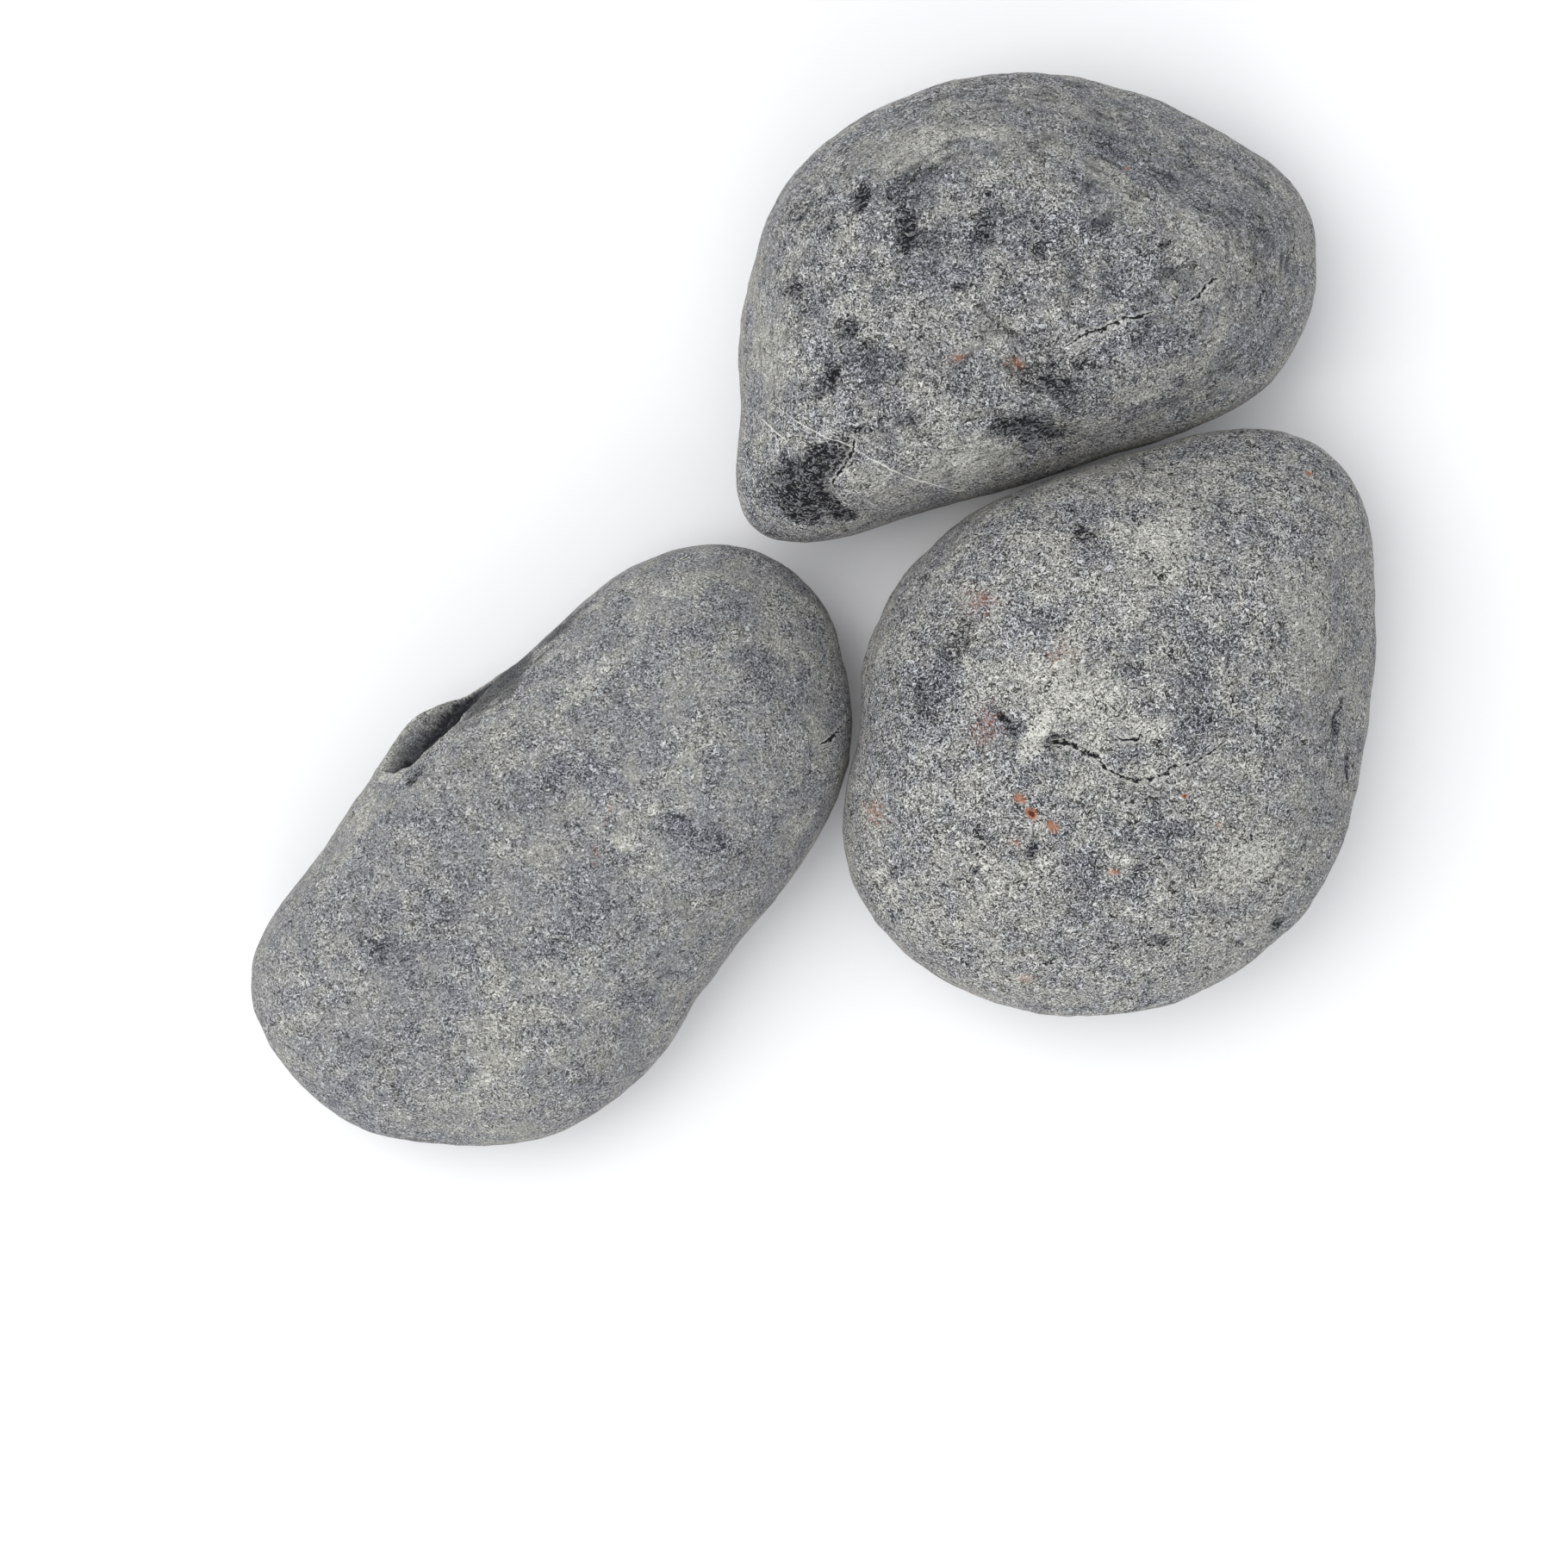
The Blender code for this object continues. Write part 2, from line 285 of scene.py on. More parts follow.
def inside_patches(plan, patches):
    """The deepest each point is inside any patch: its strength in the middle, 0 at its edge, -1 well outside.
    A patch is (x, y, half length, half width, turn in degrees, strength), in mm from the stone's middle."""
    deepest = np.full(len(plan), -1.0)
    for x, y, half_length, half_width, turn, strength in patches:
        c, s = math.cos(math.radians(turn)), math.sin(math.radians(turn))
        along, across = ((plan - (x, y)) @ np.array([[c, -s], [s, c]])).T
        share = np.hypot(along / half_length, across / half_width)
        deepest = np.maximum(deepest, strength * (1 - share))
    return deepest


def off_lines(plan, lines):
    """The signed distance from the nearest line, counted in that line's half widths and cut off at FAR.
    A line is (half width in mm, chain of points). It runs one way, and it thins to a hair at both ends, each
    over the share THINNING of its length."""
    nearest = np.full(len(plan), FAR)
    for half_width, chain in lines:
        chain = np.array(chain, float)
        length = np.linalg.norm(chain[-1] - chain[0])
        along = (chain[-1] - chain[0]) / length
        axes = np.array([along, (-along[1], along[0])]).T
        u, v = ((plan - chain[0]) @ axes).T
        chain_u, chain_v = ((chain - chain[0]) @ axes).T
        thinning = np.sqrt(np.clip(np.minimum(u, length - u) / (THINNING * length), THINNEST, 1))
        offset = (v - np.interp(u, chain_u, chain_v)) / (half_width * thinning)
        offset = np.where((u > 0) & (u < length), np.clip(offset, -FAR, FAR), FAR)
        nearest = np.where(np.abs(offset) < np.abs(nearest), offset, nearest)
    return nearest


# %% The stones and their marks
@dataclass
class Stone:
    """One stone: its solid, its body, the slot of its finish, which is not used, and its marks in mm from its
    middle, seen from above.

    scars: dark rough patches where the skin has been knocked off, sunk by scar_depth in mm.
    pale and blue: soft patches of warm pale skin and of blue-grey stone without it.
    rust: spots of rusty iron, where a high strength gives a dark red core.
    cracks and veins: dark open lines and white mineral lines.
    polished: patches that hands have rubbed smooth. The darkened patches: where the darker layered rock
    shows, and on the wedge's bevel painted shade too, as that face is turned from the light.
    """

    node: str
    body: str
    slot: str
    seed: int
    scar_depth: float
    scars: list = field(default_factory=list)
    pale: list = field(default_factory=list)
    blue: list = field(default_factory=list)
    rust: list = field(default_factory=list)
    cracks: list = field(default_factory=list)
    veins: list = field(default_factory=list)
    polished: list = field(default_factory=list)
    bare_rock_and_shade: list = field(default_factory=list)


def tally(stone):
    """How many marks of each kind a stone has, as text."""
    kinds = {name: value for name, value in vars(stone).items() if isinstance(value, list)}
    return ", ".join(f"{len(marks)} {name}" for name, marks in kinds.items())


# %% [markdown]
# ### Wedge stone
# The upper stone is flat on top. A ridge with pale skin runs across it, and beyond it a bevel is streaked and
# painted with shade, as it faces away from the light.
# One corner has a big knocked-off scar that three white hairline veins cross. Its marks are a list of
# places and sizes, because a formula can't know where a stone was hit.

# %% Wedge stone's marks
wedge = Stone(
    node="wedge_stone", body="wedge", slot="wedge_basalt", seed=11, scar_depth=0.28,
    scars=[
        (-16.5, 9.0, 1.7, 1.0, 80, 1.2), (-13.7, 9.0, 0.4, 0.35, 0, 0.8), (-12.2, 6.0, 2.8, 1.0, 95, 1.1),
        (-4.9, 6.2, 1.9, 1.2, 80, 1.0), (-4.4, 9.0, 0.5, 0.4, 0, 0.8), (-7.2, 0.6, 0.8, 0.5, -20, 1.2),
        (-22.4, 0.7, 1.5, 0.9, 20, 0.6), (-17.4, -3.4, 1.4, 1.1, 40, 1.0), (-19.2, -8.0, 2.2, 1.3, 60, 1.0),
        (-19.5, -15.4, 3.3, 2.0, 30, 1.6), (-21.6, -18.2, 3.6, 3.4, 100, 1.5),
        (-24.0, -17.6, 2.0, 1.8, 100, 0.9), (-16.3, -12.7, 1.3, 0.5, 0, 0.9),
        (-18.4, -20.2, 2.2, 1.2, -40, 1.1), (1.2, -8.2, 3.4, 1.5, -22, 0.75),
        (-0.4, -12.4, 4.2, 1.5, -8, 0.65), (4.6, -6.6, 2.0, 0.8, 30, 0.5), (12.2, 4.6, 0.7, 0.3, 10, 0.6),
    ],
    pale=[
        (-12, 13.5, 6.5, 2.5, 30, 1.0), (-4, 15.2, 6.0, 1.8, 0, 1.0), (6.5, 11.2, 7.0, 1.8, -30, 1.0),
        (14.5, 6.4, 6.0, 1.6, -42, 0.9), (-14.4, -17.4, 4.5, 2.0, -15, 1.0), (-25, -4, 2.0, 8.0, 5, 0.8),
        (7.5, -1.5, 1.5, 0.9, 20, 1.2), (9.5, -8.5, 6.0, 1.6, 25, 0.8), (-5.0, -4.0, 3.0, 1.6, 10, 0.5),
        (-6.0, -15.2, 6.5, 2.8, 15, 1.5),
    ],
    blue=[
        (-12, 10, 5.0, 1.8, 10, 0.9), (-8, 3.0, 5.0, 3.0, 20, 0.7), (3, 5, 6.0, 3.0, -20, 0.7),
        (9, 13.2, 8.0, 2.0, -33, 0.7), (14, -4, 5.0, 3.0, 30, 0.5), (-15, -7, 3.0, 3.0, 0, 0.5),
        (4.0, -9.5, 5.0, 2.0, -5, 0.9),
    ],
    rust=[(-7.3, -6.1, 1.5, 0.8, 10, 0.45), (-1.7, -6.7, 1.5, 0.8, -20, 0.5), (9.0, 12.1, 0.6, 0.4, 0, 0.5)],
    cracks=[
        (0.17, [(2.6, -5.3), (4.6, -4.0), (6.4, -3.5), (8.2, -2.5), (9.4, -2.4), (11.6, -1.5)]),
        (0.13, [(13.8, -1.1), (15.6, -0.3), (16.4, 0.9), (18.2, 1.8)]),
        (0.15, [(-16.7, -13.4), (-17.4, -15.2), (-18.5, -16.9), (-19.4, -18.4)]),
    ],
    veins=[
        (0.09, [(-25.4, -9.4), (-22.6, -11.6), (-19.1, -13.5), (-17.0, -14.4), (-14.6, -15.6), (-11.5, -16.9),
                (-8.6, -17.4), (-5.6, -18.0)]),
        (0.08, [(-26.4, -10.5), (-24.7, -12.4), (-23.0, -13.8)]),
        (0.05, [(-17.0, -17.7), (-15.4, -19.1), (-14.3, -19.8)]),
    ],
    # The first patch darkens the bevel: streaked rock, and painted shade as the bevel faces away from the
    # light.
    bare_rock_and_shade=[(11.0, 13.0, 10.0, 3.4, -35, 0.02), (-16.5, -21.8, 4.0, 1.2, 5, 0.3)],
    polished=[(-6, 15, 14, 4.5, 20, 1), (12, 12, 14, 8, -38, 1), (20, 3, 9, 14, 0, 1), (-27, 0, 4, 12, 5, 1)],
)
print(wedge.node + ":", tally(wedge))

# %% [markdown]
# ### Oval stone
# The left stone is the longest and the cleanest: a broad flat top with soft mottling, and a flake broken
# out of its upper left side, which shows the charcoal inside of the rock. The flake is a shape and not a
# mark, so it has its own step below.

# %% Oval stone's marks
oval = Stone(
    node="oval_stone", body="oval", slot="oval_basalt", seed=23, scar_depth=0.16,
    scars=[
        (18.6, -1.0, 1.2, 0.8, 0, 0.35), (-15.1, -9.4, 1.4, 1.0, 0, 0.15),
        (23.2, -3.0, 0.8, 0.35, 50, 1.0), (-12.4, 6.6, 1.8, 0.5, 48, 0.8),
    ],
    pale=[
        (-5, 14.0, 6.0, 1.5, 45, 1.0), (7.6, 0.4, 1.5, 1.0, -30, 4.5), (8.8, 6.6, 1.8, 1.2, 0, 0.9),
        (24.0, 2.3, 2.2, 1.6, 30, 0.9), (-18, 2, 2.0, 6.0, -30, 0.8), (4.0, 16.0, 5.0, 2.0, 40, 0.7),
        (11.5, 24.0, 5.5, 2.6, 25, 0.9), (-6.0, -22.0, 6.0, 1.6, 42, 0.8), (14.0, 8.0, 4.0, 2.0, 60, 0.5),
    ],
    blue=[
        (20.6, 16.6, 4.0, 2.6, -30, 0.8), (14.3, 0.8, 5.0, 2.4, -20, 1.0), (-15.0, -9.4, 4.0, 3.0, 0, 0.8),
        (0, 5, 6.0, 3.0, 50, 0.5), (-8, -6, 6.0, 4.0, 50, 0.5), (17.0, 21.0, 4.0, 1.5, 15, 0.7),
    ],
    rust=[(6.2, 3.6, 1.9, 0.5, 75, 0.28), (4.9, -0.6, 1.4, 0.5, 80, 0.25)],
    cracks=[
        (0.13, [(25.6, 9.4), (27.0, 10.2), (28.2, 11.6), (29.6, 12.9)]),
        (0.06, [(12.0, 27.0), (14.5, 28.6), (17.5, 29.2)]),
    ],
    bare_rock_and_shade=[(-4.8, 15.2, 5.6, 1.7, 50, 2.1), (1.4, 21.4, 4.2, 1.2, 46, 0.9), (11.5, 28.2, 5.0, 1.6, 20, 0.8)],
)
print(oval.node + ":", tally(oval))

# %% [markdown]
# ### Broad stone
# The right stone is the palest and the most weathered: a mottled crown, one long crack across it, a gouge,
# and iron in the rock that has rusted in a few spots. Wide weak rust patches tint the skin, and small
# strong ones make the spots.

# %% Broad stone's marks
broad = Stone(
    node="broad_stone", body="broad", slot="broad_basalt", seed=37, scar_depth=0.22,
    scars=[
        (-10.4, -0.4, 1.9, 0.6, -50, 1.0), (-6.0, -1.9, 1.3, 0.5, 20, 0.8), (-13.3, -14.2, 0.7, 0.4, 50, 0.9),
        (-8.2, -12.6, 1.3, 0.7, 55, 0.8), (4.6, -21.0, 1.9, 0.8, 10, 0.9), (16.2, -19.5, 1.0, 0.5, 30, 0.9),
        (21.6, 0.2, 1.9, 0.5, 80, 0.8), (23.0, -4.7, 1.9, 0.5, 95, 0.8), (-3.0, 17.5, 1.3, 0.7, -20, 0.6),
        (-15.0, 8.0, 2.2, 1.2, 60, 0.5), (-18.5, 1.5, 2.0, 1.0, 80, 0.5), (2.2, -14.0, 1.0, 0.5, 0, 0.5),
    ],
    pale=[
        (-4.5, 2.5, 8.0, 4.5, -35, 1.0), (4.0, 17.0, 4.5, 4.0, 30, 0.9), (-7.5, -1.0, 5.5, 1.3, 60, 1.9),
        (-1.4, -27.0, 4.0, 0.7, 0, 1.0), (11.3, 11.0, 1.0, 0.7, 40, 1.4), (12, -14, 6.0, 3.0, 40, 0.7),
        (18, 10, 2.5, 8.0, 5, 0.5), (-3, -6.5, 3.0, 1.2, 20, 0.8), (3.0, -1.0, 3.0, 1.5, 20, 0.9),
    ],
    blue=[
        (8, 2, 7.0, 4.0, 70, 0.7), (-12, -11, 5.0, 2.5, -20, 0.7), (2, -10, 6.0, 2.0, 0, 0.6),
        (-17, 5, 3.0, 7.0, -10, 0.6), (1.5, -3.2, 2.5, 1.0, 0, 1.0), (-3.0, -15.0, 6.0, 3.0, 0, 0.5),
    ],
    rust=[
        (-9.3, -7.4, 0.9, 0.7, -40, 1.0), (-8.2, -8.8, 0.9, 0.6, -40, 1.7), (-6.2, -10.0, 1.2, 0.7, -25, 0.9),
        (6.1, -7.2, 0.4, 0.35, 0, 1.7), (9.4, -10.0, 0.6, 0.5, 0, 0.5), (-0.5, -14.3, 0.8, 0.6, 0, 0.7),
        (-9.7, -11.5, 0.8, 0.6, 0, 0.5), (18.6, 23.5, 0.5, 0.4, 0, 1.8), (-12.9, 11.3, 2.6, 1.8, 0, 0.3),
        (-5.6, 6.1, 2.2, 1.5, 0, 0.28), (-12.6, -0.6, 2.0, 3.0, 0, 0.3), (-22.7, -8.9, 1.6, 2.2, 0, 0.35),
        (-8.3, -24.6, 1.2, 0.8, 0, 0.4),
    ],
    cracks=[
        (0.15, [(-6.8, -2.1), (-5.2, -1.9), (-4.1, -2.5), (-2.3, -3.4), (-1.2, -4.8), (0.2, -5.4),
                (1.5, -5.7), (3.7, -5.5), (5.2, -4.5), (6.7, -4.2), (8.2, -3.3), (10.2, -1.9)]),
        (0.18, [(-6.6, -2.3), (-5.0, -2.2), (-3.6, -3.0), (-2.0, -3.6), (-1.3, -4.9)]),
        (0.13, [(-1.0, -1.3), (0.3, -1.9), (1.6, -1.8), (2.9, -1.0)]),
    ],
    polished=[(22, 0, 8, 24, 4, 1), (14, -24, 12, 6, 30, 0.6)],
)
print(broad.node + ":", tally(broad))
stones = (wedge, oval, broad)

# %% [markdown]
# ## The lost flake
# Basalt breaks like thick glass, in a shallow shell-shaped hollow with a sharp edge. A Boolean cut would
# leave ragged triangles along that edge. The hollow here is an egg shape sunk into the side of the oval
# stone instead: where a ray from the stone's middle meets the egg first, the skin stops there.

# %% The flake's hollow
# Its middle from the stone's middle and its half sizes are in mm, and its turn in degrees. The rim and the
# clearance are shares of its size: how far pale bruising reaches, and how near the solid isn't learnt from.
FLAKE_MIDDLE = (-10.9, 12.6, 2.8)
FLAKE_HALVES = (7.8, 2.9, 3.9)
FLAKE_TURN = 49
FLAKE_RIM = 1.12
FLAKE_CLEARANCE = 1.5


def in_flake(points, middle):
    """Points in the hollow's own axes, where its surface is exactly one from its middle."""
    c, s = math.cos(math.radians(FLAKE_TURN)), math.sin(math.radians(FLAKE_TURN))
    own = (points - middle) / MM - FLAKE_MIDDLE
    turned = own @ np.array([[c, -s, 0], [s, c, 0], [0, 0, 1]])
    return turned / FLAKE_HALVES


def flake_radius(middle, size):
    """How far from the stone's middle each direction meets the hollow, or infinity where it misses it.
    The point r times d is on the hollow where |start + r step| is its size, which is a quadratic in r."""
    start = in_flake(middle[None], middle)
    step = in_flake(middle + directions * MM, middle) - start
    a = (step**2).sum(axis=1)
    b = (step * start).sum(axis=1)
    c = (start**2).sum(axis=1) - size**2
    inside = b * b - a * c
    nearer = (-b - np.sqrt(np.maximum(inside, 0))) / a * MM
    return np.where((inside > 0) & (b < 0), nearer, np.inf)


# %% [markdown]
# ## Making a stone
# Each stone's skin is the learnt radius plus slow swells about as wide as a fingertip, small bumps and
# grit, less its scars and a groove under each crack. A Displace modifier could add these one by one, but
# here the marks follow the same numbers as the relief, so a scar is dark just where it is sunk. The sole
# stays flat, because the stone rests on it.

# %% Marks of a stone
# The marks are on the upper side only. They fade in while the height of a direction's tip is in UPPER_SIDE.
# A seed here is added to the stone's own, so that each unevenness is another one. The shares say how much
# the ragged one moves the edge of each mark.
UPPER_SIDE = (0.0, 0.15)
RAGGED_SIZE = 1.6
RAGGED_SEED = 50
RAGGED_SHARE = {"scars": 0.3, "strays": 0.35, "pale": 0.35, "blue": 0.2, "bare_rock_and_shade": 0.4, "polished": 0.2}
STRAY_SIZE = 7.0
STRAY_SEED = 60
STRAY_LEVEL = 1.35
STRAY_FADE = 0.7
MOST_PALE = 3
MOST_BLUE = 2
UNDER_BARE_ROCK_AND_SHADE = 2
POLISH_EDGE = (-0.2, 0.3)


def marks_on(stone, points):
    """The marks at each point, before the flake. Each is a distance or a depth, with edges made ragged.
    A few stray scars are added where a slow unevenness is highest, mostly low on the sides."""
    plan = points[:, :2]
    upper = smooth_step(directions[:, 2], *UPPER_SIDE)
    above = upper > 0.5
    uneven_edge = uneven(points, RAGGED_SIZE, stone.seed + RAGGED_SEED, 3)
    ragged = {mark: share * uneven_edge for mark, share in RAGGED_SHARE.items()}
    strays = uneven(points, STRAY_SIZE, stone.seed + STRAY_SEED, 2) + ragged["strays"] - STRAY_LEVEL
    scars = inside_patches(plan, stone.scars) + ragged["scars"]
    pale = (inside_patches(plan, stone.pale) + ragged["pale"]) * upper
    blue = (inside_patches(plan, stone.blue) + ragged["blue"]) * upper
    bare_rock_and_shade = inside_patches(plan, stone.bare_rock_and_shade) + ragged["bare_rock_and_shade"]
    polished = inside_patches(plan, stone.polished) + ragged["polished"]
    return {
        "scar": np.maximum(np.where(above, scars, -1), strays * (1 - STRAY_FADE * upper)),
        "veil": np.clip(pale, 0, MOST_PALE) - np.clip(blue, 0, MOST_BLUE),
        "bare_rock_and_shade": bare_rock_and_shade - UNDER_BARE_ROCK_AND_SHADE * (1 - upper),
        "polish": smooth_step(polished, *POLISH_EDGE),
        "rust": np.where(above, inside_patches(plan, stone.rust), -1),
        "crack": np.where(above, off_lines(plan, stone.cracks), FAR),
        "vein": np.where(above, off_lines(plan, stone.veins), FAR),
    }


# %% Relief of a stone
# Swells, bumps and grit: how wide and how high they are in mm, and what is added to the stone's seed.
RELIEF = ((9.0, 0.30, 0), (2.6, 0.10, 10), (0.9, 0.045, 20))
SCAR_EDGE = (-0.05, 0.5)
CRACK_DEPTH = 0.15
CRACK_REACH = 4


def relief_on(stone, points, marks):
    """Height over the learnt skin in mm: swells + bumps + grit - scars - a groove under each crack.
    The groove is deepest on the crack's line and gone CRACK_REACH half widths from it."""
    relief = sum(height * uneven(points, size, stone.seed + extra, 2) for size, height, extra in RELIEF)
    relief -= stone.scar_depth * smooth_step(marks["scar"], *SCAR_EDGE)
    relief -= CRACK_DEPTH * (1 - smooth_step(np.abs(marks["crack"]), 0, CRACK_REACH))
    return relief


# %% Skin of a stone
RIM_SIZE = 2.8
RIM_SEED = 70
RIM_ROUGHNESS = 0.13
RIM_PALENESS = 0.8
FRESH_ROCK_AND_SHADE_EDGE = 0.3 * MM
RIM_EDGE = 0.2 * MM


def stone_skin(stone):
    """The skin's points and the marks as one value a point.
    Radius = learnt radius + relief, then stopped at the flake's ragged hollow and at the floor."""
    low, high = (np.array(corner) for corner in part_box(stone.node))
    middle = (low + high) / 2
    samples = samples_of(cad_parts[stone.node])
    if stone is oval:
        samples = samples[np.linalg.norm(in_flake(samples, middle), axis=1) > FLAKE_CLEARANCE]
    radius = learnt_radius(samples, middle)
    points = directions * radius[:, None] / MM
    marks = marks_on(stone, points)
    radius = radius + relief_on(stone, points, marks) * MM

    marks["fresh_rock_and_shade"] = np.zeros(len(points))
    if stone is oval:
        size = 1 + RIM_ROUGHNESS * uneven(points, RIM_SIZE, stone.seed + RIM_SEED, 3)
        hollow = flake_radius(middle, size)
        # The hollow's mask: fresh charcoal rock, which the material also paints darker as the hollow's shade.
        marks["fresh_rock_and_shade"] = smooth_step(radius - hollow, 0, FRESH_ROCK_AND_SHADE_EDGE)
        rim = smooth_step(radius - flake_radius(middle, FLAKE_RIM * size), 0, RIM_EDGE)
        marks["veil"] = marks["veil"] + RIM_PALENESS * (rim * (1 - marks["fresh_rock_and_shade"]))
        radius = np.minimum(radius, hollow)

    skin = middle + directions * radius[:, None]
    skin[:, 2] = np.maximum(skin[:, 2], low[2])
    return skin, marks


# %% Mesh of a stone
# A face is part of the side where its normal's height is under SIDE_FULL, and no longer is over SIDE_NONE.
SIDE_FULL = 0.05
SIDE_NONE = 0.50


def stone_object(stone):
    """A closed smooth mesh of the skin, with each mark kept as an attribute of its points."""
    print(stone.node)
    skin, marks = stone_skin(stone)
    mesh = bpy.data.meshes.new(stone.node + "_skin")
    mesh.vertices.add(len(skin))
    mesh.vertices.foreach_set("co", skin.ravel().astype(np.float32))
    mesh.loops.add(faces.size)
    mesh.loops.foreach_set("vertex_index", faces.ravel().astype(np.int32))
    mesh.polygons.add(len(faces))
    mesh.polygons.foreach_set("loop_start", np.arange(0, faces.size, 4, dtype=np.int32))
    mesh.update(calc_edges=True)
    mesh.shade_smooth()
    normals = np.empty(len(skin) * 3, np.float32)
    mesh.vertex_normals.foreach_get("vector", normals)
    upright = np.abs(normals.reshape(-1, 3)[:, 2])
    marks["side"] = 1 - smooth_step(upright, SIDE_FULL, SIDE_NONE)
    for name, values in marks.items():
        attribute = mesh.attributes.new(name, "FLOAT", "POINT")
        attribute.data.foreach_set("value", values.astype(np.float32))
    made = bpy.data.objects.new(stone.node + "_skin", mesh)
    bpy.context.scene.collection.objects.link(made)
    return made


# %% [markdown]
# ## Water-worn basalt
# Basalt is a fine dark lava rock. Worn dry by a river it turns blue-grey, and each bruised grain scatters
# light, so the skin is covered in short pale threads and dark specks well under a millimetre long. The rock
# is matte everywhere: an IOR near 1.5 and a roughness near 0.9. A painted picture of it would blur close up
# and show a seam. Noise in three dimensions is cut like the rock itself, so each finish below is a step
# made of noises.

# %% Adding a node
# A ramp takes the value, where it starts and ends, and what it gives there. MULTIPLY_ADD takes the value,
# its weight, and what is added.
NOISE = "ShaderNodeTexNoise"
MATH = "ShaderNodeMath"
RAMP = "ShaderNodeMapRange"
MIX = "ShaderNodeMix"
MAPPING = "ShaderNodeMapping"
MARK = "ShaderNodeAttribute"
FACTOR, BELOW, ABOVE, MIXED = 0, 6, 7, 2
SMOOTH = {"interpolation_type": "SMOOTHSTEP"}
COLOURS = {"data_type": "RGBA", "out": MIXED}
HALF = 0.5


def add(tree, kind, inputs=(), out=0, **settings):
    """Adds one node with its settings, fills its inputs, in order or by name, and gives back one output.
    An input takes a number, a colour written as sRGB hex, or another node's output."""
    node = tree.nodes.new(kind)
    for name, value in settings.items():
        setattr(node, name, value)
    named = inputs if isinstance(inputs, dict) else dict(enumerate(inputs))
    for name, value in named.items():
        if isinstance(value, bpy.types.NodeSocket):
            tree.links.new(value, node.inputs[name])
        else:
            node.inputs[name].default_value = (*linear(value), 1) if isinstance(value, str) else value
    return node.outputs[out]


# %% Colours of the rock
BLUE_DARK = "#333439"
BLUE_LIGHT = "#cdd0d5"
WARM_DARK = "#3f3d38"
WARM_LIGHT = "#dbdad2"
SPECK = "#26272a"
BROKEN = "#2e2f33"
BROKEN_LIGHT = "#818388"
# A tint that darkens the layered rock, and lays painted shade on a face turned from the light.
BARE_ROCK_AND_SHADE_TINT = "#939599"
SIDE_DARK = "#6b6967"
SIDE_LIGHT = "#cbc6bf"
# Fresh rock inside the hollow, painted darker as its shade.
SHADED_INSIDE = "#1a1b1e"
SHADED_INSIDE_LIGHT = "#505256"
RUST = "#a96d4b"
RUST_CORE = "#5a2a1e"
CRACK = "#141517"
VEIN = "#e2e1da"

# %% Sizes of the patterns
# Many grains of basalt are under 0.1 mm and too fine to show, so the grit is drawn as coarse as it needs to
# show.
GRIT = 0.20 * MM
THREADS = 0.48 * MM
SPECKS = 0.50 * MM
GAPS = 0.75 * MM
GAP_STRETCH = (0.8, 1.2, 1.2)
CREASES = 2.6 * MM
LAYERS = 3.5 * MM
LAYER_STRETCH = (1, 1, 8)
SPLIT_STRETCH = (1, 1, 3)
MOTTLE = 2.2 * MM
CLOUDS = 8.0 * MM
print("pattern sizes in mm: from", round(GRIT / MM, 2), "to", round(CLOUDS / MM, 2))

# %% [markdown]
# ### Bloom
# Minerals that weather out of basalt leave a warm pale bloom, which rubs off where stones meet. One noise
# alone gives even blots. Slow clouds with finer mottling on them drift as weathering does, and the veil
# mark on the mesh moves the bloom to where this stone has it.

# %% Bloom
MOTTLING = 1.3
VEIL_PUSH = 0.5
BLOOM_START = 1.2
BLOOM_END = 2.1


def bloom_over(tree, place, veil, warmth):
    """How much pale bloom covers a point, 0 to 1: clouds + mottling + the stone's own veil, along a ramp."""
    clouds = add(tree, NOISE, {"Vector": place, "Scale": 1 / CLOUDS})
    mottling = add(tree, NOISE, {"Vector": place, "Scale": 1 / MOTTLE})
    both = add(tree, MATH, (mottling, MOTTLING, clouds), operation="MULTIPLY_ADD")
    pushed = add(tree, MATH, (veil, VEIL_PUSH, both), operation="MULTIPLY_ADD")
    return add(tree, RAMP, (pushed, BLOOM_START - warmth, BLOOM_END - warmth), **SMOOTH)


# %% [markdown]
# ### Grain
# Bruised crystals are short pale curls. Each is drawn with a painted highlight on it and a painted shadow
# just beside it, as its relief would show in light. A plain noise only gives round blots. A contour, the thin
# band where a warped noise has one level, gives curls and loops instead.

# %% Winding lines
def contour(tree, field, level, half_width):
    """A winding line: 1 where a field has the level, falling to 0 where it is the half width away."""
    off = add(tree, MATH, (field, level), operation="SUBTRACT")
    off = add(tree, MATH, (off,), operation="ABSOLUTE")
    return add(tree, RAMP, (off, half_width, 0.0), **SMOOTH)


# %% Grain
# A contour is a level of the noise and a half width.
# Pale curls with a painted highlight on them, and a painted shadow just beside each.
CURL_AND_HIGHLIGHT = (0.54, 0.055)
CURL_SHADOW = (0.45, 0.05)
GRIT_WEIGHT = 0.7
CURL_AND_HIGHLIGHT_WEIGHT = 0.29
CURL_SHADOW_WEIGHT = -0.15
GRAIN_BASE = 0.12


